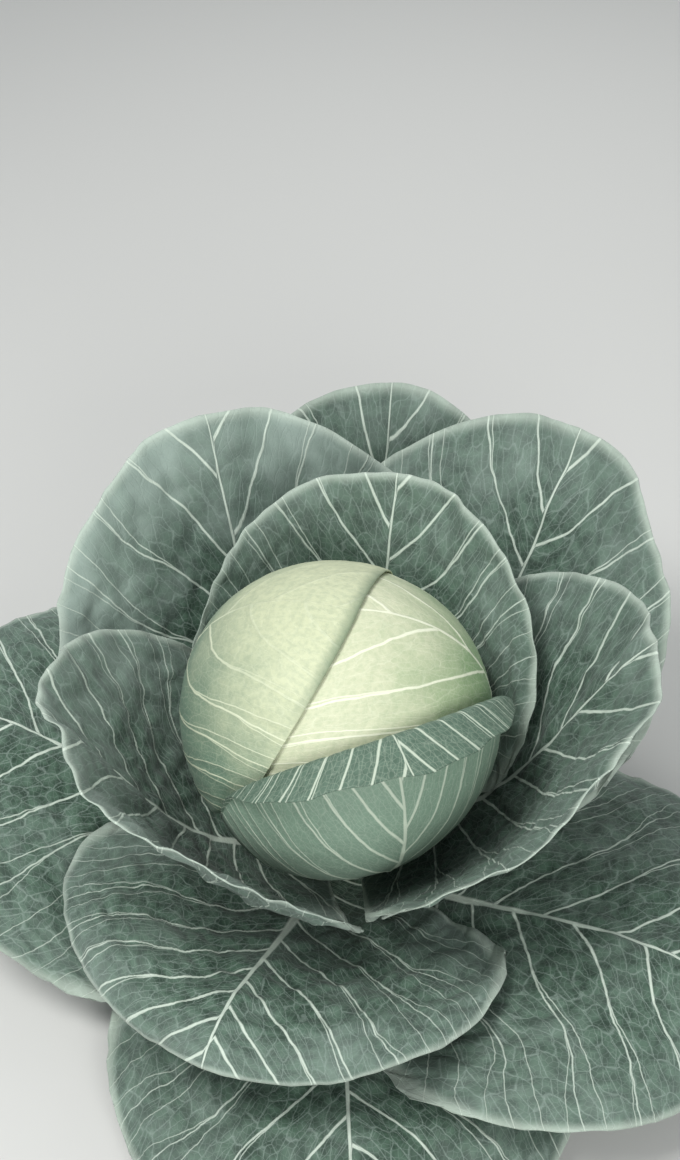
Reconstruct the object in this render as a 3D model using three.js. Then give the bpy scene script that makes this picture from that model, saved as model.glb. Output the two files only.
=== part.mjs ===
// A white cabbage, cut at the stump with its wrapper leaves still on.
//
// A short stump carries a round, tightly packed head. Four head leaves wrap the packed heart, and
// ten wrapper leaves open round the head: three cup it closely and seven spread out below them.
// Every leaf is its own closed solid, a thin blade with a midrib on its underside. The leaves grow
// from the stump one below another, so each leaf lies outside the leaf above it.
//
// The origin is the centre of the stump's cut face, with +Z up.

import * as THREE from "three";

// Driving dimensions, in millimetres and degrees.
const HEAD_RADIUS = 105;
const STUMP_HEIGHT = 80;
const STUMP_RADIUS = 21;
const HEAD_CENTRE = new THREE.Vector3(0, 0, STUMP_HEIGHT + HEAD_RADIUS);
const HEART_RADIUS = HEAD_RADIUS - 9;
const BLADE_THICKNESS = 1.4;
const STUMP_GAP = 1.2;
const LEAF_BASE_HALF_WIDTH = 17;
const RIB_BASE_HALF_WIDTH = 9;
const RIB_TIP_HALF_WIDTH = 2.5;
const WRAPPER_GRID = { rows: 12, side: 5 };
const HEAD_GRID = { rows: 16, side: 9 };
const FOLDED_GRID = { rows: 22, side: 8 };

const rad = THREE.MathUtils.degToRad;

const COLOURS = {
  heart: 0xd9dfa8,
  headLeaf: 0xb9c894,
  wrapperLeaf: 0x5f7f6c,
  stump: 0xb9bf94,
};

// Head leaves lie on the head. radius is the leaf's distance from the head's centre, centreUp the
// elevation of the blade's centre, and tipUp how far the midrib climbs, 90 being the crown.
// halfWidth is the blade's angle to its right and left of the midrib.
const HEAD_LEAVES = [
  { name: "head_leaf_under", azimuth: 255, radius: 98.4, centreUp: 0, tipUp: 78, halfWidth: [70, 70] },
  { name: "head_leaf_right", azimuth: 3, radius: 101.3, centreUp: 30, tipUp: 124, halfWidth: [114, 78] },
  { name: "head_leaf_left", azimuth: 162, radius: 104.2, centreUp: 20, tipUp: 98, halfWidth: [90, 74] },
  {
    name: "head_leaf_front", azimuth: 293, radius: 108, centreUp: -6, tipUp: 58, halfWidth: [66, 70],
    fold: { from: 0.84, radius: 4.5, length: [34, 40], turn: [118, 158] },
  },
];

// Wrapper leaves grow from the stump. Each midrib is a cubic curve in the upright plane at azimuth:
// it leaves the stump at stemZ, and bow, rise and tip are its [distance from the axis, height].
// halfWidth is the blade's widest reach to the right and left of the midrib. openness flattens the
// blade's sideways curve, sideLift raises its right and left edges, curl turns the margin out, and
// wave is the ruffle's [height, count, phase].
const WRAPPER_LEAVES = [
  {
    name: "cup_leaf_back", azimuth: 74, stemZ: 77, bow: [92, 75], rise: [124, 150], tip: [148, 272],
    halfWidth: [150, 150], openness: 0, sideLift: [0, 0], curl: 9, wave: [2, 7, 0.4],
  },
  {
    name: "cup_leaf_right", azimuth: -2, stemZ: 71, bow: [104, 64], rise: [136, 140], tip: [197, 264],
    halfWidth: [176, 154], openness: 0.1, sideLift: [30, 6], curl: 8, wave: [3, 9, 1.2],
  },
  {
    name: "cup_leaf_left", azimuth: 196, stemZ: 65, bow: [108, 58], rise: [130, 132], tip: [182, 248],
    halfWidth: [146, 176], openness: 0.05, sideLift: [4, 30], curl: 8, wave: [3, 8, 0.2],
  },
  {
    name: "outer_leaf_back_left", azimuth: 113, stemZ: 58, bow: [128, 44], rise: [176, 120], tip: [238, 266],
    halfWidth: [176, 170], openness: 0.2, sideLift: [0, 0], curl: 12, wave: [4, 9, 2.0],
  },
  {
    name: "outer_leaf_back_right", azimuth: 50, stemZ: 51, bow: [138, 31], rise: [196, 104], tip: [272, 262],
    halfWidth: [150, 182], openness: 0.2, sideLift: [0, 0], curl: 12, wave: [4, 8, 0.9],
  },
  {
    name: "outer_leaf_front", azimuth: 248, stemZ: 46, bow: [110, 40], rise: [172, 130], tip: [226, 98],
    halfWidth: [176, 176], openness: 0.1, sideLift: [4, 4], curl: 14, wave: [4, 8, 1.5],
  },
  {
    name: "outer_leaf_left", azimuth: 166, stemZ: 39, bow: [130, 28], rise: [220, 132], tip: [310, 120],
    halfWidth: [180, 180], openness: 0.25, sideLift: [0, -60], curl: 12, wave: [5, 8, 0.5],
  },
  {
    name: "outer_leaf_front_right", azimuth: -29, stemZ: 33, bow: [120, 24], rise: [228, 128], tip: [325, 60],
    halfWidth: [170, 176], openness: 0.25, sideLift: [-24, -24], curl: 10, wave: [5, 7, 2.4],
  },
  {
    name: "outer_leaf_back", azimuth: 82, stemZ: 27, bow: [150, 12], rise: [234, 70], tip: [306, 232],
    halfWidth: [160, 160], openness: 0.3, sideLift: [-6, -6], curl: 10, wave: [5, 8, 0],
  },
  {
    name: "ground_leaf_front", azimuth: 272, stemZ: 20, bow: [110, 4], rise: [204, 58], tip: [310, 5.6],
    halfWidth: [176, 176], openness: 0.3, sideLift: [-6, -6], curl: 4, wave: [4, 8, 1.1],
  },
];

// A head isn't a perfect ball: it is a little flat at its crown and base, with three soft shoulders.
// Every head leaf follows the same shape, so the layers stay nested.
function headShape(direction) {
  const round = Math.atan2(direction.y, direction.x);
  const sideways = 1 - direction.z ** 2;
  return 1 - 0.035 * direction.z ** 2 + 0.012 * Math.sin(3 * round + 0.8) * sideways;
}

function alongHead(direction, radius) {
  return direction.clone().multiplyScalar(radius * headShape(direction)).add(HEAD_CENTRE);
}

function directionAt(azimuth, elevation) {
  return new THREE.Vector3(
    Math.cos(elevation) * Math.cos(azimuth),
    Math.cos(elevation) * Math.sin(azimuth),
    Math.sin(elevation),
  );
}

// Where a grid point lies on the flat leaf: x across from the midrib, as a share of the half width,
// and y along it, as a share of its length. Rows arch up in the middle, so the last row is the
// rounded end of the leaf, and the first is the narrow base.
function flatPoint(row, column, leaf) {
  const side = Math.sign(column);
  const reach = side < 0 ? leaf.halfWidth[0] : leaf.halfWidth[1];
  const base = leaf.baseHalfWidth;
  const half = base + (reach - base) * Math.sin((Math.PI / 2) * row ** 0.85);
  const rib = THREE.MathUtils.lerp(leaf.ribHalfWidth[0], leaf.ribHalfWidth[1], row);
  const spread = Math.sin((Math.PI / 2) * (Math.abs(column) - 1) / leaf.grid.side);
  const x = side === 0 ? 0 : rib + (half - rib) * spread;
  const share = x / half;
  const sideY = row * (1 - leaf.shoulder * row);
  const y = sideY + (row - sideY) * Math.sqrt(Math.max(0, 1 - share ** 2));
  return { x: side * x, y, share };
}

// How close a grid point is to the margin: 0 inside the blade and 1 on the edge.
function nearMargin(share, row, sharpness) {
  return 1 - (1 - share ** sharpness) * (1 - row ** sharpness);
}

// The head leaf's flat shape, wrapped on the head as an even map round the blade's centre.
function wrapOnHead(leaf, x, y) {
  const azimuth = rad(leaf.azimuth);
  const centreUp = rad(leaf.centreUp);
  const centre = directionAt(azimuth, centreUp);
  const upward = directionAt(azimuth, centreUp + Math.PI / 2);
  const across = new THREE.Vector3(-Math.sin(azimuth), Math.cos(azimuth), 0);
  const up = THREE.MathUtils.lerp(leaf.baseUp, rad(leaf.tipUp), y) - centreUp;
  const away = Math.hypot(x, up);
  const scale = away < 1e-6 ? 1 : Math.sin(away) / away;
  const direction = centre.clone().multiplyScalar(Math.cos(away));
  direction.addScaledVector(upward, up * scale).addScaledVector(across, x * scale);
  return alongHead(direction.normalize(), leaf.radius);
}

// Past fold.from the end of the leaf rolls outwards and hangs back down over the leaf.
function foldedEnd(leaf, row, column) {
  const { from, radius, length, turn } = leaf.fold;
  const atFold = flatPoint(from, column, leaf);
  const before = flatPoint(from - 0.02, column, leaf);
  const start = wrapOnHead(leaf, atFold.x, atFold.y);
  const upward = start.clone().sub(wrapOnHead(leaf, before.x, before.y)).normalize();
  const outward = start.clone().sub(HEAD_CENTRE).normalize();
  const sideShare = (1 - Math.sign(column) * atFold.share) / 2;
  const flap = THREE.MathUtils.lerp(length[1], length[0], sideShare) * (1 - 0.9 * atFold.share ** 3);
  const fullTurn = rad(THREE.MathUtils.lerp(turn[1], turn[0], sideShare));
  const run = flap * (row - from) / (1 - from);
  const angle = Math.min(run / radius, fullTurn);
  const straight = Math.max(0, run - radius * fullTurn);
  start.addScaledVector(upward, radius * Math.sin(angle) + straight * Math.cos(fullTurn));
  return start.addScaledVector(outward, radius * (1 - Math.cos(angle)) + straight * Math.sin(fullTurn));
}

function headLeafPoint(leaf, row, column) {
  if (leaf.fold && row > leaf.fold.from) return foldedEnd(leaf, row, column);
  const flat = flatPoint(row, column, leaf);
  return wrapOnHead(leaf, flat.x, flat.y);
}

// The wrapper leaf's flat shape, bent round the stump's axis along its midrib.
function wrapperLeafPoint(leaf, row, column) {
  const { x, y, share } = flatPoint(row, column, leaf);
  const rib = leaf.midrib.getPoint(y);
  const bend = rib.x * (1 + leaf.openness * y);
  const turn = x / bend;
  const reach = rib.x - bend + bend * Math.cos(turn);
  const sideways = bend * Math.sin(turn);
  const height = rib.y + leaf.sideLift[x < 0 ? 0 : 1] * share ** 2 * y;
  const azimuth = rad(leaf.azimuth);
  return new THREE.Vector3(
    reach * Math.cos(azimuth) - sideways * Math.sin(azimuth),
    reach * Math.sin(azimuth) + sideways * Math.cos(azimuth),
    height,
  );
}

// The margin's ruffle and outward curl, measured along the blade's normal.
function marginOffset(leaf, row, column) {
  if (!leaf.wave) return 0;
  const { y, share } = flatPoint(row, column, leaf);
  const [height, count, phase] = leaf.wave;
  const round = Math.atan2(Math.sign(column) * share, y - 0.3);
  const ruffle = height * nearMargin(share, row, 3) * Math.sin(count * round + phase);
  return ruffle - leaf.curl * nearMargin(share, row, 7) * Math.min(1, 2 * row);
}

// A smooth sheet through a grid of points. Its normals are on the leaf's upper side.
function sheet(points, rows, columns) {
  const geometry = new THREE.BufferGeometry().setFromPoints(points);
  const faces = [];
  for (let i = 0; i < rows - 1; i++) {
    for (let j = 0; j < columns - 1; j++) {
      const a = i * columns + j;
      faces.push(a, a + columns, a + 1, a + 1, a + columns, a + columns + 1);
    }
  }
  geometry.setIndex(faces);
  geometry.computeVertexNormals();
  return geometry;
}

function moveAlongNormals(points, geometry, distances) {
  const normal = new THREE.Vector3();
  return points.map((point, k) => {
    normal.fromBufferAttribute(geometry.attributes.normal, k);
    return point.clone().addScaledVector(normal, distances[k]);
  });
}

// The closed leaf: an upper and a lower skin with a wall round the margin. The midrib stands out
// below, deep at the base and fading towards the tip.
function leafSolid(leaf, pointAt) {
  const rowCount = leaf.grid.rows;
  const sideColumns = leaf.grid.side + 1;
  const columns = 2 * sideColumns + 1;
  const grid = [];
  for (let i = 0; i <= rowCount; i++) {
    for (let j = -sideColumns; j <= sideColumns; j++) grid.push({ row: i / rowCount, column: j });
  }
  const rows = rowCount + 1;
  let middle = grid.map(({ row, column }) => pointAt(leaf, row, column));
  const flatSheet = sheet(middle, rows, columns);
  middle = moveAlongNormals(middle, flatSheet, grid.map((g) => marginOffset(leaf, g.row, g.column)));
  const bladeSheet = sheet(middle, rows, columns);
  const half = grid.map(({ row, column }) => {
    const edge = nearMargin(flatPoint(row, column, leaf).share, row, 6);
    return (BLADE_THICKNESS / 2) * (1 - 0.35 * edge);
  });
  const ribDepth = grid.map(({ row, column }) => (column === 0 ? leaf.ribDepth * (1 - row) ** 1.3 : 0));
  const upper = moveAlongNormals(middle, bladeSheet, half);
  const lower = moveAlongNormals(middle, bladeSheet, half.map((h, k) => -h - ribDepth[k]));
  const count = upper.length;
  const faces = [...bladeSheet.index.array];
  for (let k = 0; k < bladeSheet.index.count; k += 3) {
    const [a, b, c] = bladeSheet.index.array.subarray(k, k + 3);
    faces.push(count + a, count + c, count + b);
  }
  const margin = [];
  for (let j = 0; j < columns - 1; j++) margin.push(j);
  for (let i = 0; i < rows - 1; i++) margin.push(i * columns + columns - 1);
  for (let j = columns - 1; j > 0; j--) margin.push((rows - 1) * columns + j);
  for (let i = rows - 1; i > 0; i--) margin.push(i * columns);
  margin.forEach((a, k) => {
    const b = margin[(k + 1) % margin.length];
    faces.push(a, b, count + b, a, count + b, count + a);
  });
  const solid = new THREE.BufferGeometry().setFromPoints([...upper, ...lower]);
  solid.setIndex(faces);
  solid.computeVertexNormals();
  return solid;
}

function leafMesh(leaf, pointAt, colour) {
  const material = new THREE.MeshStandardMaterial({ color: colour, roughness: 0.6, metalness: 0 });
  const mesh = new THREE.Mesh(leafSolid(leaf, pointAt), material);
  mesh.name = leaf.name;
  return mesh;
}

function headLeaf(spec) {
  // The base stops short of the stump, which is a little wider than the head's lowest point.
  const baseUp = -Math.acos((STUMP_RADIUS + 6) / spec.radius);
  const leaf = {
    ...spec,
    grid: spec.fold ? FOLDED_GRID : HEAD_GRID,
    baseUp,
    halfWidth: spec.halfWidth.map(rad),
    baseHalfWidth: LEAF_BASE_HALF_WIDTH / spec.radius,
    ribHalfWidth: [RIB_BASE_HALF_WIDTH / spec.radius, RIB_TIP_HALF_WIDTH / spec.radius],
    ribDepth: 0.8,
  };
  const length = rad(spec.tipUp) - baseUp;
  leaf.shoulder = (rad(spec.tipUp) - rad(spec.centreUp)) / length;
  return leafMesh(leaf, headLeafPoint, COLOURS.headLeaf);
}

function wrapperLeaf(spec) {
  const start = new THREE.Vector2(stumpRadiusAt(spec.stemZ) + STUMP_GAP, spec.stemZ);
  const corners = [spec.bow, spec.rise, spec.tip].map(([out, up]) => new THREE.Vector2(out, up));
  const leaf = {
    ...spec,
    grid: WRAPPER_GRID,
    midrib: new THREE.CubicBezierCurve(start, ...corners),
    baseHalfWidth: LEAF_BASE_HALF_WIDTH,
    ribHalfWidth: [RIB_BASE_HALF_WIDTH, RIB_TIP_HALF_WIDTH],
    ribDepth: 3.2,
    shoulder: 0.42,
  };
  return leafMesh(leaf, wrapperLeafPoint, COLOURS.wrapperLeaf);
}

function stumpRadiusAt(z) {
  return STUMP_RADIUS + 2.5 * Math.sin((Math.PI * z) / (2 * STUMP_HEIGHT));
}

// The packed inside of the head, as one ball.
function heart() {
  const ball = new THREE.SphereGeometry(1, 28, 18);
  const positions = ball.attributes.position;
  const direction = new THREE.Vector3();
  for (let k = 0; k < positions.count; k++) {
    direction.fromBufferAttribute(positions, k).normalize().applyAxisAngle(new THREE.Vector3(1, 0, 0), Math.PI / 2);
    const point = alongHead(direction, HEART_RADIUS);
    positions.setXYZ(k, point.x, point.y, point.z);
  }
  ball.computeVertexNormals();
  const material = new THREE.MeshStandardMaterial({ color: COLOURS.heart, roughness: 0.6, metalness: 0 });
  const mesh = new THREE.Mesh(ball, material);
  mesh.name = "heart";
  return mesh;
}

// The stump, cut flat below and dished above to take the underside of the heart.
function stump() {
  const outline = [new THREE.Vector2(0, 0), new THREE.Vector2(STUMP_RADIUS - 1.5, 0)];
  for (const z of [1.5, 12, 26, 40, 54, 68]) outline.push(new THREE.Vector2(stumpRadiusAt(z), z));
  const topRadius = stumpRadiusAt(STUMP_HEIGHT);
  for (let k = 4; k >= 0; k--) {
    const out = (topRadius * k) / 4;
    const heartUnder = HEAD_CENTRE.z - Math.sqrt((HEART_RADIUS * 0.965) ** 2 - out ** 2);
    outline.push(new THREE.Vector2(out, heartUnder - 1));
  }
  const lathe = new THREE.LatheGeometry(outline, 24);
  lathe.rotateX(Math.PI / 2);
  const material = new THREE.MeshStandardMaterial({ color: COLOURS.stump, roughness: 0.7, metalness: 0 });
  const mesh = new THREE.Mesh(lathe, material);
  mesh.name = "stump";
  return mesh;
}

const cabbage = new THREE.Group();
cabbage.add(stump(), heart());
cabbage.add(...HEAD_LEAVES.map(headLeaf));
cabbage.add(...WRAPPER_LEAVES.map(wrapperLeaf));

export default cabbage;
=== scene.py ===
import math

import bpy
import numpy as np
from mathutils import Matrix, Vector


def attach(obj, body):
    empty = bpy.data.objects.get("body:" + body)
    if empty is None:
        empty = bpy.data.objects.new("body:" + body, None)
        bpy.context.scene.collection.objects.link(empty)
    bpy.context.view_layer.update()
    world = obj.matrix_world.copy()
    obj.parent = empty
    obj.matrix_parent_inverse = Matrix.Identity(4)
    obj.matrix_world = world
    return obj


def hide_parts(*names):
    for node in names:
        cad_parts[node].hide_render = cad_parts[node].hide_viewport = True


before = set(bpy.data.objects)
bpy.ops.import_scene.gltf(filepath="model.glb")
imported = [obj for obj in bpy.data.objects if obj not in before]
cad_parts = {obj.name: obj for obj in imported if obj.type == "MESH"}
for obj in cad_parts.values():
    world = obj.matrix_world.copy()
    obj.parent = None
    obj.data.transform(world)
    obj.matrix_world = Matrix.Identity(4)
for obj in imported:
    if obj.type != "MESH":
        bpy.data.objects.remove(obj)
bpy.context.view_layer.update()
mm = 0.001


# A shader socket that takes part in Python expressions.
class Socket:
    def __init__(self, board, output):
        self.board = board
        self.output = output

    def __add__(self, other):
        return self.board.maths("ADD", self, other)

    def __sub__(self, other):
        return self.board.maths("SUBTRACT", self, other)

    def __rsub__(self, other):
        return self.board.maths("SUBTRACT", other, self)

    def __mul__(self, other):
        return self.board.maths("MULTIPLY", self, other)

    def __truediv__(self, other):
        return self.board.maths("DIVIDE", self, other)

    def __rtruediv__(self, other):
        return self.board.maths("DIVIDE", other, self)

    def __abs__(self):
        return self.board.maths("ABSOLUTE", self)

    __radd__ = __add__
    __rmul__ = __mul__


# The nodes of one material.
class Board:
    def __init__(self, name):
        self.material = bpy.data.materials.new(name)
        self.material.use_nodes = True
        self.tree = self.material.node_tree
        self.tree.nodes.clear()

    def node(self, kind, settings=None, sockets=None, output=0):
        item = self.tree.nodes.new(kind)
        for name, value in (settings or {}).items():
            setattr(item, name, value)
        for name, value in (sockets or {}).items():
            if isinstance(value, Socket):
                self.tree.links.new(value.output, item.inputs[name])
            else:
                item.inputs[name].default_value = value
        return Socket(self, item.outputs[output]) if item.outputs else None

    def maths(self, operation, *values):
        return self.node("ShaderNodeMath", {"operation": operation}, dict(enumerate(values)))

    def mix(self, share, first, second):
        settings = {"data_type": "RGBA", "clamp_factor": True}
        return self.node("ShaderNodeMix", settings, {0: share, 6: colour(first), 7: colour(second)}, 2)

    def attribute(self, name, part):
        whole = self.node("ShaderNodeAttribute", {"attribute_name": name}, output=1)
        return self.node("ShaderNodeSeparateXYZ", sockets={0: whole}, output=part)

    def noise(self, place, scale, detail=3, output=0):
        sockets = {"Vector": place, "Scale": scale, "Detail": detail}
        return self.node("ShaderNodeTexNoise", sockets=sockets, output=output)

    def cells(self, place, scale):
        settings = {"feature": "DISTANCE_TO_EDGE", "voronoi_dimensions": "2D"}
        return self.node("ShaderNodeTexVoronoi", settings, {"Vector": place, "Scale": scale})

    def bump(self, strength, height):
        sockets = {"Strength": strength, "Distance": 0.001, "Height": height}
        return self.node("ShaderNodeBump", sockets=sockets)

    def surface(self, sockets):
        shader = self.node("ShaderNodeBsdfPrincipled", sockets=sockets)
        self.node("ShaderNodeOutputMaterial", sockets={"Surface": shader})
        return self.material


# Helpers that work on numpy arrays and on shader sockets alike.
def colour(value):
    if isinstance(value, Socket):
        return value
    shares = [part / 255 for part in value]
    return [s / 12.92 if s < 0.04 else ((s + 0.055) / 1.055) ** 2.4 for s in shares] + [1]


def smoothStep(low, high, value):
    if isinstance(value, Socket):
        return value.board.node("ShaderNodeMapRange", {"interpolation_type": "SMOOTHSTEP"},
                                {"Value": value, "From Min": low, "From Max": high})
    share = np.clip((value - low) / (high - low), 0, 1)
    return share * share * (3 - 2 * share)


def fraction(value):
    return value.board.maths("FRACT", value) if isinstance(value, Socket) else value - np.floor(value)


def larger(a, b):
    return a.board.maths("MAXIMUM", a, b) if isinstance(a, Socket) else np.maximum(a, b)


def lineMask(phase, shift, spacing, width, soft):
    away = abs(fraction(phase - shift + 0.5) - 0.5) * spacing  # from the nearest vein
    return 1 - smoothStep(0, 1, (away - width * 0.4) / (width * 0.8 + soft))


# Side veins, each forking twice on its way out. out runs from 0 at the midrib to 1 at the margin.
def sideVeins(phase, out, spacing, width, soft=0.0):
    main = lineMask(phase, 0, spacing, width * (1.15 - out * 0.85), soft)
    upper = lineMask(phase, smoothStep(0.2, 0.8, out) * 0.4, spacing, width * (0.75 - out * 0.45), soft)
    lower = lineMask(phase, smoothStep(0.42, 1.0, out) * -0.33, spacing, width * (0.62 - out * 0.34), soft)
    return larger(main, larger(upper * 0.85, lower * 0.75))


def midribVein(across, along, width, soft=0.0):
    half = width * (1.05 - along * 0.85) + width * 0.9 * (1 - smoothStep(0, 0.5, along))
    return 1 - smoothStep(0, 1, (abs(across) - half * 0.55) / (half * 0.6 + soft))


def ripple(x, y, size, seed, waves=9):
    picks = np.random.default_rng(seed)
    total = np.zeros_like(x)
    for _ in range(waves):
        turn, start, pitch = picks.uniform(0, 2 * np.pi, 2).tolist() + [size * picks.uniform(0.7, 1.6)]
        total += np.sin((x * math.cos(turn) + y * math.sin(turn)) * 2 * np.pi / pitch + start)
    return total / math.sqrt(waves)


# The head, and the stump that it stands on.
head = {"radius": 105, "stumpHeight": 80, "stumpRadius": 21, "heartRadius": 96}
headCentre = np.array([0, 0, head["stumpHeight"] + head["radius"]])
leafBuild = {"thickness": 1.3, "baseHalfWidth": 17, "ribDepth": 5.0, "veinGap": (4, 60), "gapSmoothing": 24}


def stumpRadiusAt(z):
    return head["stumpRadius"] + 2.5 * np.sin(np.pi * z / (2 * head["stumpHeight"]))


def directionAt(azimuth, up):
    return np.array([math.cos(up) * math.cos(azimuth), math.cos(up) * math.sin(azimuth), math.sin(up)])


def onHead(direction, radius):
    around = np.arctan2(direction[..., 1], direction[..., 0])
    level = 1 - direction[..., 2] ** 2
    shape = 1 - 0.035 * (1 - level) + 0.012 * np.sin(3 * around + 0.8) * level
    return direction * (radius * shape)[..., None] + headCentre


def nearMargin(share, row, sharpness):
    return 1 - (1 - abs(share) ** sharpness) * (1 - row ** sharpness)


def flatLeaf(leaf, row, share):
    reach = np.where(share < 0, leaf["halfWidth"][0], leaf["halfWidth"][1])
    half = leaf["base"] + (reach - leaf["base"]) * np.sin(np.pi / 2 * row ** 0.85)
    sideY = row * (1 - leaf["shoulder"] * row)
    return share * half, sideY + (row - sideY) * np.sqrt(np.maximum(0, 1 - share ** 2))


def wrapOnHead(leaf, x, y):
    azimuth, centreUp = math.radians(leaf["azimuth"]), math.radians(leaf["centreUp"])
    across = np.array([-math.sin(azimuth), math.cos(azimuth), 0])
    up = leaf["baseUp"] + (math.radians(leaf["tipUp"]) - leaf["baseUp"]) * y - centreUp
    away = np.hypot(x, up)
    scale = np.sinc(away / np.pi)
    direction = np.cos(away)[..., None] * directionAt(azimuth, centreUp)
    direction = direction + (up * scale)[..., None] * directionAt(azimuth, centreUp + np.pi / 2)
    direction = direction + (x * scale)[..., None] * across
    return onHead(direction / np.linalg.norm(direction, axis=-1, keepdims=True), leaf["radius"])


def wrappedHead(leaf, row, share):
    return wrapOnHead(leaf, *flatLeaf(leaf, row, share))


# Past fold["from"] the end of the leaf rolls outwards and hangs back down over the leaf.
def foldedHead(leaf, row, share):
    fold = leaf["fold"]
    flat = wrappedHead(leaf, np.minimum(row, fold["from"]), share)
    atFold = np.full_like(row, fold["from"])
    start = wrappedHead(leaf, atFold, share)
    upward = start - wrappedHead(leaf, atFold - 0.02, share)
    upward /= np.linalg.norm(upward, axis=-1, keepdims=True)
    outward = start - headCentre
    outward /= np.linalg.norm(outward, axis=-1, keepdims=True)
    side = (1 - share) / 2
    length = fold["length"][1] + (fold["length"][0] - fold["length"][1]) * side
    flap = length * (1 - 0.9 * np.abs(share) ** 3)
    flap = flap + 1.6 * np.sin(9 * share + 0.6) + 0.9 * np.sin(23 * share)
    turn = np.radians(fold["turn"][1] + (fold["turn"][0] - fold["turn"][1]) * side)
    run = flap * np.maximum(0, row - fold["from"]) / (1 - fold["from"])
    angle = np.minimum(run / fold["radius"], turn)
    straight = np.maximum(0, run - fold["radius"] * turn)
    rolled = start + upward * (fold["radius"] * np.sin(angle) + straight * np.cos(turn))[..., None]
    rolled = rolled + outward * (fold["radius"] * (1 - np.cos(angle)) + straight * np.sin(turn))[..., None]
    return np.where((row > fold["from"])[..., None], rolled, flat)


def midribPoint(leaf, y):
    start = (stumpRadiusAt(leaf["stemZ"]) - 1.5, leaf["stemZ"])
    a, b, c, d = [np.array(p, float) for p in (start, leaf["bow"], leaf["rise"], leaf["tip"])]
    t = y[..., None]
    return a * (1 - t) ** 3 + b * 3 * t * (1 - t) ** 2 + c * 3 * t * t * (1 - t) + d * t ** 3


def wrapperSurface(leaf, row, share):
    x, y = flatLeaf(leaf, row, share)
    rib = midribPoint(leaf, y)
    bend = rib[..., 0] * (1 + leaf["openness"] * y)
    reach = rib[..., 0] - bend + bend * np.cos(x / bend)
    sideways = bend * np.sin(x / bend)
    lift = np.where(x < 0, leaf["sideLift"][0], leaf["sideLift"][1])
    height = rib[..., 1] + lift * share ** 2 * y
    azimuth = math.radians(leaf["azimuth"])
    return np.stack([reach * math.cos(azimuth) - sideways * math.sin(azimuth),
                     reach * math.sin(azimuth) + sideways * math.cos(azimuth), height], -1)


def sheetNormals(points):
    normals = np.cross(np.gradient(points, axis=0), np.gradient(points, axis=1))
    length = np.linalg.norm(normals, axis=-1, keepdims=True)
    return normals / np.maximum(length, 1e-9)


# Where each side vein starts on the midrib and how steeply it leaves it.
def veinOrder(x, y, splay, bend):
    reach = abs(x) + bend * x ** 2
    low, high = np.full_like(x, -1.5), np.full_like(x, 2.5)
    for _ in range(34):
        middle = (low + high) / 2
        start = np.where(middle > 0, np.maximum(middle, 0) ** 1.45 * 0.95, middle * 0.5)
        ahead = start + np.maximum(splay[0] + splay[1] * middle, 0.02) * reach < y
        low, high = np.where(ahead, middle, low), np.where(ahead, high, middle)
    return (low + high) / 2


def gradientLength(field, points):
    alongRow, alongShare = np.gradient(points, axis=0), np.gradient(points, axis=1)
    a, b = np.gradient(field, axis=0), np.gradient(field, axis=1)
    e, f, g = (alongRow ** 2).sum(-1), (alongRow * alongShare).sum(-1), (alongShare ** 2).sum(-1)
    area = np.maximum(e * g - f * f, 1e-6)
    return np.sqrt(np.maximum((g * a * a - 2 * f * a * b + e * b * b) / area, 1e-8))


def addPiece(name, points, faces):
    mesh = bpy.data.meshes.new(name)
    mesh.from_pydata((points * mm).tolist(), [], faces.tolist())
    mesh.shade_smooth()
    piece = bpy.data.objects.new(name, mesh)
    bpy.context.scene.collection.objects.link(piece)
    return piece


# A closed sheet between two grids, with the fields stored on its points.
def makeMesh(name, top, bottom, fields):
    rows, columns = top.shape[:2]
    index = np.arange(rows * columns).reshape(rows, columns)
    corners = [index[:-1, :-1], index[1:, :-1], index[1:, 1:], index[:-1, 1:]]
    upper = np.stack(corners, -1).reshape(-1, 4)
    ring = np.concatenate([index[0, :-1], index[:-1, -1], index[-1, :0:-1], index[:0:-1, 0]])
    after = np.roll(ring, -1)
    count = rows * columns
    wall = np.stack([ring, after, after + count, ring + count], -1)
    faces = np.concatenate([upper, upper[:, ::-1] + count, wall])
    piece = addPiece(name, np.concatenate([top.reshape(-1, 3), bottom.reshape(-1, 3)]), faces)
    for label, values in fields.items():
        layer = piece.data.attributes.new(label, "FLOAT_VECTOR", "POINT")
        stacked = np.stack([np.broadcast_to(v, (rows, columns)) for v in values], -1).reshape(-1, 3)
        layer.data.foreach_set("vector", np.concatenate([stacked, stacked]).astype(np.float32).ravel())
    return piece


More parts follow.
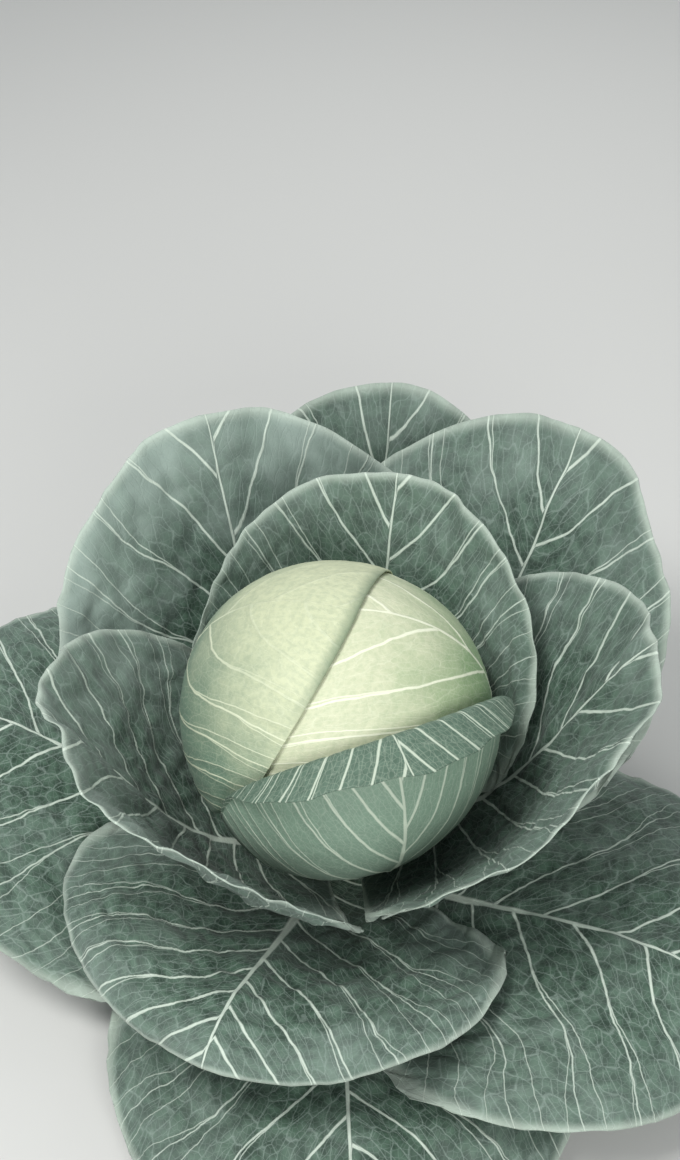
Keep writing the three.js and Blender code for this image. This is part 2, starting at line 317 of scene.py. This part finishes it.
def makeLeaf(leaf, surface, onTheHead):
    rows, columns = leaf["grid"]
    row, spread = np.meshgrid(np.linspace(0, 1, rows), np.linspace(-1, 1, columns), indexing="ij")
    share = 0.55 * spread + 0.45 * np.sin(np.pi / 2 * spread)
    points = surface(leaf, row, share)
    x, y = flatLeaf(leaf, row, share)
    xFlat, yFlat = x * leaf["unit"], y * leaf["length"]
    seed = leaf["seed"]

    order = veinOrder(x * leaf["unit"] / leaf["length"], y, leaf["splay"], leaf["bend"])
    wobble = 0.13 * ripple(xFlat, yFlat, 110, seed)
    phase = leaf["veins"] * order + wobble + np.where(x < 0, 0.0, 0.47)
    spacing = np.clip(1 / gradientLength(phase, points), *leafBuild["veinGap"])
    for _ in range(leafBuild["gapSmoothing"]):
        padded = np.pad(spacing, 1, mode="edge")
        spacing = (padded[:-2, 1:-1] + padded[2:, 1:-1] + padded[1:-1, :-2] + padded[1:-1, 2:]) / 4
    out = np.clip(abs(xFlat) / (leaf["unit"] * max(leaf["halfWidth"])), 0, 1)

    margin = nearMargin(share, row, 3)
    normals = sheetNormals(points)
    if "wave" in leaf:
        height, count, start = leaf["wave"]
        edge = height * margin * np.sin(count * np.arctan2(share, y - 0.3) + start)
        rough = 1.9 * ripple(xFlat, yFlat, 48, seed + 3) + 0.9 * ripple(xFlat, yFlat, 19, seed + 4)
        edge = edge + nearMargin(share, row, 5) * rough * smoothStep(0.1, 0.5, row)
        edge = edge - leaf["curl"] * nearMargin(share, row, 7) * np.minimum(1, 2 * row)
        points = points + normals * edge[..., None]
        normals = sheetNormals(points)

    pastBase = smoothStep(0.03, 0.3, row)
    veins = sideVeins(phase, out, spacing, leaf["veinWidth"], 2.2) * pastBase
    rib = midribVein(xFlat, y, leaf["ribWidth"], 1.5)
    between = abs(np.sin(np.pi * phase)) ** 0.7 * np.clip(spacing / 25, 0, 1)
    bumps = 0.3 * ripple(xFlat, yFlat, 24, seed + 5) + 0.16 * ripple(xFlat, yFlat, 11, seed + 6, 14)
    pucker = leaf["pucker"] * pastBase * (between + bumps)
    pucker = pucker * (1 - 0.7 * rib) * (1 - 0.5 * nearMargin(share, row, 9))
    raised = -1 if onTheHead else 0.35  # outer faces of head leaves carry the raised veins
    ridges = veins + 1.5 * rib * (1 - y)
    relief = pucker * (-0.55 if onTheHead else 1) + raised * leaf["veinHeight"] * ridges
    points = points + normals * relief[..., None]
    normals = sheetNormals(points)

    half = leafBuild["thickness"] / 2 * (1 - 0.45 * nearMargin(share, row, 6))
    keel = (1 - smoothStep(0, 1, abs(xFlat) / (10 - 6 * y))) * (1 - y) ** 1.3
    keel = keel * (0.5 if onTheHead else leafBuild["ribDepth"])
    below = half + keel + (0 if onTheHead else 0.6 * veins * pastBase)
    fields = {"vein": (phase, out, spacing), "place": (xFlat, yFlat, margin), "run": (y, row, share),
              "tone": (leaf.get("waxyAndPaintedLight", 0.0), 0.0, 0.0)}
    return makeMesh(leaf["name"] + "_blade", points + normals * half[..., None],
                    points - normals * below[..., None], fields)


# Head leaves, from the inside out. Angles are in degrees.
headLeaves = [
    {"name": "head_leaf_under", "azimuth": 255, "radius": 98.4, "centreUp": 0, "tipUp": 78,
     "halfWidth": [70, 70], "splay": [0.4, 0.3], "bend": 1.2, "veins": 8, "look": "pale"},
    {"name": "head_leaf_right", "azimuth": 3, "radius": 101.3, "centreUp": 30, "tipUp": 124,
     "halfWidth": [114, 78], "splay": [0.75, 0.5], "bend": 1.2, "veins": 8, "look": "bright"},
    {"name": "head_leaf_left", "azimuth": 162, "radius": 104.2, "centreUp": 20, "tipUp": 98,
     "halfWidth": [90, 74], "splay": [0.42, 0.15], "bend": 1.5, "veins": 10, "look": "pale"},
    {"name": "head_leaf_front", "azimuth": 293, "radius": 108, "centreUp": -6, "tipUp": 58,
     "halfWidth": [66, 70], "splay": [0.55, 1.6], "bend": 0.7, "veins": 9, "look": "loose",
     "fold": {"from": 0.84, "radius": 4.5, "length": [34, 40], "turn": [118, 158]}},
]
headFinish = {"veinWidth": 0.95, "veinHeight": 0.6, "ribWidth": 2.3, "pucker": 0.8}
headGrids = {"wrapped": (132, 150), "folded": (176, 132)}

# Wrapper leaves, from the inside out. bow, rise and tip are [distance from the stump's axis, height].
# Each leaf's pale grey-green amount is partly its real wax coating and partly painted light on the brighter-lit
# leaves.
wrapperLeaves = [
    {"name": "cup_leaf_back", "azimuth": 74, "stemZ": 77, "bow": [92, 75], "rise": [124, 150],
     "tip": [148, 272], "halfWidth": [150, 150], "openness": 0, "sideLift": [0, 0], "curl": 9,
     "wave": [2, 7, 0.4]},
    {"name": "cup_leaf_right", "azimuth": -2, "stemZ": 71, "bow": [104, 64], "rise": [136, 140],
     "tip": [197, 264], "halfWidth": [176, 154], "openness": 0.1, "sideLift": [30, 6], "curl": 8,
     "wave": [3, 9, 1.2]},
    {"name": "cup_leaf_left", "waxyAndPaintedLight": 0.25, "azimuth": 196, "stemZ": 65, "bow": [108, 58],
     "rise": [130, 132], "tip": [182, 248], "halfWidth": [146, 176], "openness": 0.05,
     "sideLift": [4, 30], "curl": 8, "wave": [3, 8, 0.2]},
    {"name": "outer_leaf_back_left", "waxyAndPaintedLight": 1.0, "azimuth": 113, "stemZ": 58, "bow": [128, 44],
     "rise": [176, 120], "tip": [238, 266], "halfWidth": [176, 170], "openness": 0.2,
     "sideLift": [0, 0], "curl": 12, "wave": [4, 9, 2.0]},
    {"name": "outer_leaf_back_right", "waxyAndPaintedLight": 0.1, "azimuth": 50, "stemZ": 51, "bow": [138, 31],
     "rise": [196, 104], "tip": [272, 262], "halfWidth": [150, 182], "openness": 0.2,
     "sideLift": [0, 0], "curl": 12, "wave": [4, 8, 0.9]},
    {"name": "outer_leaf_front", "azimuth": 248, "stemZ": 46, "bow": [110, 40], "rise": [172, 130],
     "tip": [226, 98], "halfWidth": [176, 176], "openness": 0.1, "sideLift": [4, 4], "curl": 14,
     "wave": [4, 8, 1.5]},
    {"name": "outer_leaf_left", "azimuth": 166, "stemZ": 39, "bow": [130, 28], "rise": [220, 132],
     "tip": [310, 120], "halfWidth": [180, 180], "openness": 0.25, "sideLift": [0, -60], "curl": 12,
     "wave": [5, 8, 0.5]},
    {"name": "outer_leaf_front_right", "azimuth": -29, "stemZ": 33, "bow": [120, 24],
     "rise": [228, 128], "tip": [325, 60], "halfWidth": [170, 176], "openness": 0.25,
     "sideLift": [-24, -24], "curl": 10, "wave": [5, 7, 2.4]},
    {"name": "outer_leaf_back", "azimuth": 82, "stemZ": 27, "bow": [150, 12], "rise": [234, 70],
     "tip": [306, 232], "halfWidth": [160, 160], "openness": 0.3, "sideLift": [-6, -6], "curl": 10,
     "wave": [5, 8, 0]},
    {"name": "ground_leaf_front", "azimuth": 272, "stemZ": 20, "bow": [110, 4], "rise": [204, 58],
     "tip": [310, 5.6], "halfWidth": [176, 176], "openness": 0.3, "sideLift": [-6, -6], "curl": 4,
     "wave": [4, 8, 1.1]},
]
wrapperFinish = {"veinWidth": 1.0, "veinHeight": 1.4, "ribWidth": 2.7, "pucker": 2.8,
                 "splay": [0.25, 0.85], "bend": 0.9, "veins": 9, "base": leafBuild["baseHalfWidth"],
                 "shoulder": 0.42, "unit": 1.0, "grid": (106, 138)}

# Leaf colours, as sRGB.
# In the head looks, low and high carry painted light and shade as well as the leaves' own colour.
headLook = {
    # The pale look's rim colour is a painted shadow along the leaf's edge on the crown, where it overlaps the
    # leaf below.
    "pale": {"low": (104, 132, 112), "high": (204, 210, 174), "vein": (224, 230, 200), "lean": (0.55, 0.9),
             "levels": (0.125, 0.24), "crownFade": 0.65, "rim": (82, 110, 84)},
    "bright": {"low": (128, 160, 112), "high": (208, 212, 180), "vein": (242, 245, 220), "lean": (-0.75, 0.4),
               "levels": (0.005, 0.1), "crownFade": 0.0, "rim": (128, 160, 112)},
    "loose": {"low": (108, 130, 114), "high": (128, 154, 134), "vein": (204, 216, 196), "lean": (0.0, 1.0),
              "levels": (0.11, 0.22), "crownFade": 0.0, "rim": (108, 130, 114), "rolled": (74, 98, 82)},
}
headGloss = {"bump": 0.35, "roughness": 0.52, "sheen": 0.05}
wrapperGloss = {"bump": 0.6, "roughness": 0.58, "sheen": 0.12}
# Wrapper colours: deep also paints the shade toward each leaf's base, and the pale grey-green also paints
# highlight on margins and on the brighter-lit leaves.
wrapperLook = {"deep": (34, 58, 44), "mid": (78, 105, 87), "bloomAndPaintedLight": (146, 163, 153), "vein": (210, 223, 208)}


def veinShader(board, finish):
    phase, out, spacing = [board.attribute("vein", k) for k in range(3)]
    across, along = board.attribute("place", 0), board.attribute("run", 0)
    place = board.node("ShaderNodeAttribute", {"attribute_name": "place"}, output=1)
    jitter = board.noise(place, 0.06, 2) - 0.5
    side = sideVeins(phase + jitter * 0.1, out, spacing, finish["veinWidth"])
    rib = midribVein(across, along, finish["ribWidth"])
    flat = board.node("ShaderNodeVectorMath", {"operation": "MULTIPLY"}, {0: place, 1: (1, 1, 0)})
    nets = []
    for scale in (0.1, 0.26):
        bent = board.node("ShaderNodeVectorMath", {"operation": "ADD"},
                          {0: flat, 1: board.noise(flat, scale * 0.8, 2, 1)})
        nets.append(board.cells(bent, scale))
    # ladder veins run across between the side veins, and thin strands run along them
    steps = board.node("ShaderNodeCombineXYZ", sockets={0: phase * 3.2 + jitter * 0.5, 1: out * 15 + jitter})
    ladder = board.cells(steps, 1.0)
    strands = lineMask(phase * 4 + jitter * 0.9, 0, spacing * 0.25, 0.32, 0.0)
    coarse = larger(1 - smoothStep(0.0, 0.075, ladder), strands * 0.8)
    fine = 1 - smoothStep(0.0, 0.12, nets[1])
    return flat, larger(side, rib), coarse, fine, nets


def finishSurface(board, base, veins, coarse, fine, nets, settings):
    height = veins * 0.5 - coarse * 0.25 - fine * 0.12 + nets[0] * 0.5
    return board.surface({
        "Base Color": base, "Roughness": settings["roughness"] - veins * 0.08,
        "Normal": board.bump(settings["bump"], height),
        "Specular IOR Level": 0.35, "Sheen Weight": settings["sheen"], "Sheen Roughness": 0.6})


def headMaterial(name, look):
    board = Board(name)
    flat, veins, coarse, fine, nets = veinShader(board, headFinish)
    # Partly painted light: each head leaf's colour runs from its low to its high colour with world height and
    # toward one side. The paler top is partly the leaf's own blanching and partly painted highlight, and the
    # darker lower side is partly painted shade.
    where = board.node("ShaderNodeTexCoord", output=3)
    sideways = board.node("ShaderNodeSeparateXYZ", sockets={0: where}, output=0)
    height = board.node("ShaderNodeSeparateXYZ", sockets={0: where}, output=2)
    level = sideways * look["lean"][0] + height * look["lean"][1]
    patches = board.noise(flat, 0.03, 4)
    climb = smoothStep(look["levels"][0], look["levels"][1], level + (patches - 0.5) * 0.07)
    base = board.mix(climb, look["low"], look["high"])
    mottle = smoothStep(0.35, 0.7, board.noise(flat, 0.22, 5))
    base = board.mix(mottle * 0.22, base, look["low"])
    if "rolled" in look:
        onRoll = smoothStep(0.83, 0.87, board.attribute("run", 1))
        base = board.mix(onRoll * (0.75 + mottle * 0.2), base, look["rolled"])
    crown = smoothStep(0.245, 0.275, height) * look["crownFade"]
    base = board.mix(coarse * 0.13 + fine * 0.12, base, look["vein"])
    base = board.mix(veins * (0.85 - crown), base, look["vein"])
    # Painted shade: a dark green line along the leaf's margin on the crown stands in for the shadow at the
    # seam.
    rim = smoothStep(0.9, 1.0, board.attribute("place", 2)) * smoothStep(0.25, 0.28, height)
    base = board.mix(rim * look["crownFade"], base, look["rim"])
    return finishSurface(board, base, veins, coarse, fine, nets, headGloss)


def wrapperMaterial(name, look):
    board = Board(name)
    flat, veins, coarse, fine, nets = veinShader(board, wrapperFinish)
    margin = board.attribute("place", 2)
    mottle, cloud = board.noise(flat, 0.11, 5), board.noise(flat, 0.018, 3)
    base = board.mix(smoothStep(0.32, 0.68, mottle), look["deep"], look["mid"])
    # Partly the real wax coating and partly painted light: pale grey-green over patches and toward the margins,
    # with a per-leaf amount that also paints the brighter-lit leaves paler.
    waxyAndPaintedLight = board.attribute("tone", 0)
    bloomAndPaintedLight = (smoothStep(0.42, 0.75, cloud) + smoothStep(0.3, 1.0, margin)) * (0.25 + waxyAndPaintedLight * 0.45)
    base = board.mix(bloomAndPaintedLight, base, look["bloomAndPaintedLight"])
    along = board.attribute("run", 0)
    # Painted shade: each wrapper leaf darkens toward its base, deep in the cup.
    base = board.mix((1 - smoothStep(0.05, 0.45, along)) * 0.2, base, look["deep"])
    base = board.mix(coarse * 0.4 + fine * 0.2, base, look["bloomAndPaintedLight"])
    # A thin pale line along each leaf's edge, partly the edge's own colour and partly painted highlight.
    base = board.mix(smoothStep(0.93, 1.0, margin) * 0.5, base, look["vein"])
    out = board.attribute("vein", 1)
    base = board.mix(veins * (0.95 - out * 0.4), base, look["vein"])
    return finishSurface(board, base, veins, coarse, fine, nets, wrapperGloss)


def dress(piece, node, material):
    piece.data.materials.append(material)
    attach(piece, "root")
    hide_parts(node)


headMaterials = {look: headMaterial("head_leaf_" + look, headLook[look]) for look in headLook}
wrapperSkin = wrapperMaterial("wrapper_leaf_skin", wrapperLook)
print("materials made")

for number, leaf in enumerate(headLeaves):
    folded = "fold" in leaf
    leaf.update({**headFinish, "seed": 20 + number, "unit": leaf["radius"]})
    leaf["grid"] = headGrids["folded" if folded else "wrapped"]
    leaf["halfWidth"] = [math.radians(side) for side in leaf["halfWidth"]]
    leaf["baseUp"] = -math.acos((head["stumpRadius"] + 6) / leaf["radius"])
    leaf["base"] = leafBuild["baseHalfWidth"] / leaf["radius"]
    span = math.radians(leaf["tipUp"]) - leaf["baseUp"]
    leaf["shoulder"] = math.radians(leaf["tipUp"] - leaf["centreUp"]) / span
    leaf["length"] = span * leaf["radius"]
    piece = makeLeaf(leaf, foldedHead if folded else wrappedHead, True)
    dress(piece, leaf["name"], headMaterials[leaf["look"]])
print("head leaves made")

for number, leaf in enumerate(wrapperLeaves):
    for key, value in wrapperFinish.items():
        leaf.setdefault(key, value)
    leaf["seed"] = 60 + number
    steps = midribPoint(leaf, np.linspace(0, 1, 60))
    leaf["length"] = float(np.linalg.norm(np.diff(steps, axis=0), axis=-1).sum())
    piece = makeLeaf(leaf, wrapperSurface, False)
    dress(piece, leaf["name"], wrapperSkin)
print("wrapper leaves made")


def roundGrid(first, last, spec):
    around = np.linspace(0, 2 * np.pi, spec["columns"] + 1)[:-1]
    return np.meshgrid(np.linspace(first, last, spec["rows"]), around, indexing="ij")


def makeRound(name, points):
    rows, columns = points.shape[:2]
    index = np.arange(rows * columns).reshape(rows, columns)
    nextOne = np.roll(index, -1, axis=1)
    faces = np.stack([index[:-1], nextOne[:-1], nextOne[1:], index[1:]], -1).reshape(-1, 4)
    return addPiece(name, points.reshape(-1, 3), faces)


def plainMaterial(name, look):
    board = Board(name)
    where = board.node("ShaderNodeTexCoord", output=3)
    grain = board.noise(where, look["grain"], 6)
    base = board.mix(smoothStep(0.35, 0.65, grain), look["dark"], look["light"])
    return board.surface({"Base Color": base, "Roughness": 0.6 + grain * 0.1, "Normal": board.bump(0.4, grain)})


# The heart shows only in slivers between head leaves.
heart = {"rows": 60, "columns": 96, "folds": 10, "foldHeight": 0.5,
         "dark": (196, 206, 150), "light": (220, 224, 178), "grain": 60}


def makeHeart():
    up, around = roundGrid(-np.pi / 2, np.pi / 2, heart)
    direction = np.stack([np.cos(up) * np.cos(around), np.cos(up) * np.sin(around), np.sin(up)], -1)
    folds = heart["foldHeight"] * np.sin(heart["folds"] * around) * np.cos(up)
    return makeRound("packed_heart", onHead(direction, head["heartRadius"] + folds))


# The cut stem, with leaf scars round its side. Its lowest rows, up to cutShare, are the cut face.
stump = {"rows": 90, "columns": 96, "height": 90, "cutRadius": 19.5, "cutShare": 0.12, "scarDepth": 0.5,
         "chamfer": 1.5, "dark": (158, 168, 124), "light": (196, 200, 160), "grain": 140}


def makeStump():
    up, around = roundGrid(0, 1, stump)
    z = stump["height"] * np.clip((up - stump["cutShare"]) / (1 - stump["cutShare"]), 0, 1)
    scars = stump["scarDepth"] * np.sin(5 * around + z * 0.35) * np.sin(z * 0.5 + around * 2)
    side = stumpRadiusAt(np.minimum(z, head["stumpHeight"])) - stump["chamfer"] * (z < 1) + scars * (z > 2)
    radius = np.where(up < stump["cutShare"], up / stump["cutShare"] * stump["cutRadius"], side)
    return makeRound("cut_stump", np.stack([radius * np.cos(around), radius * np.sin(around), z], -1))


dress(makeHeart(), "heart", plainMaterial("heart_skin", heart))
dress(makeStump(), "stump", plainMaterial("stump_skin", stump))
print("heart and stump made")

# Camera, floor and studio light.
view = {"up": 48, "distance": 1.1, "lens": 34.03, "sensor": 24, "pitch": 43.31, "yaw": -0.174}
camera = bpy.data.cameras.new("camera")
camera.sensor_fit = "VERTICAL"
camera.sensor_height = view["sensor"]
camera.lens = view["lens"]
cameraObject = bpy.data.objects.new("camera", camera)
bpy.context.scene.collection.objects.link(cameraObject)
bpy.context.scene.camera = cameraObject
up = math.radians(view["up"])
centre = Vector((headCentre * mm).tolist())
position = centre + Vector((0, -math.cos(up), math.sin(up))) * view["distance"]
pitch = math.radians(view["pitch"])
yaw = math.radians(view["yaw"])
cameraObject.matrix_world = (Matrix.Translation(position) @ Matrix.Rotation(yaw, 4, "Z")
                             @ Matrix.Rotation(math.pi / 2 - pitch, 4, "X"))

ground = {"half": 4, "z": -0.0003, "colour": (214, 214, 210), "roughness": 0.8}
floorCorners = [(x * ground["half"], y * ground["half"], ground["z"])
                for x, y in ((-1, -1), (1, -1), (1, 1), (-1, 1))]
floorMesh = bpy.data.meshes.new("floor")
floorMesh.from_pydata(floorCorners, [], [(0, 1, 2, 3)])
floor = bpy.data.objects.new("floor", floorMesh)
bpy.context.scene.collection.objects.link(floor)
floorSockets = {"Base Color": colour(ground["colour"]), "Roughness": ground["roughness"]}
floorMesh.materials.append(Board("pale_floor").surface(floorSockets))

lights = {
    "key": {"place": (-0.7, -0.35, 1.8), "size": 0.7, "power": 22},
    "front": {"place": (0.5, -1.7, 1.0), "size": 1.1, "power": 21},
    "rim": {"place": (0.3, 1.3, 1.3), "size": 1.2, "power": 7},
}
for name, spec in lights.items():
    lamp = bpy.data.lights.new(name, "AREA")
    lamp.size, lamp.energy = spec["size"], spec["power"]
    lampObject = bpy.data.objects.new(name, lamp)
    bpy.context.scene.collection.objects.link(lampObject)
    lampObject.location = spec["place"]
    lampObject.rotation_euler = (centre - Vector(spec["place"])).to_track_quat("-Z", "Y").to_euler()
studio = {"tint": (0.9, 0.95, 1.0, 1), "strength": 0.35}
world = bpy.data.worlds.new("studio")
world.use_nodes = True
background = world.node_tree.nodes["Background"]
background.inputs[0].default_value = studio["tint"]
background.inputs[1].default_value = studio["strength"]
bpy.context.scene.world = world
bpy.context.scene.view_settings.view_transform = "Standard"
print("camera and lights set")
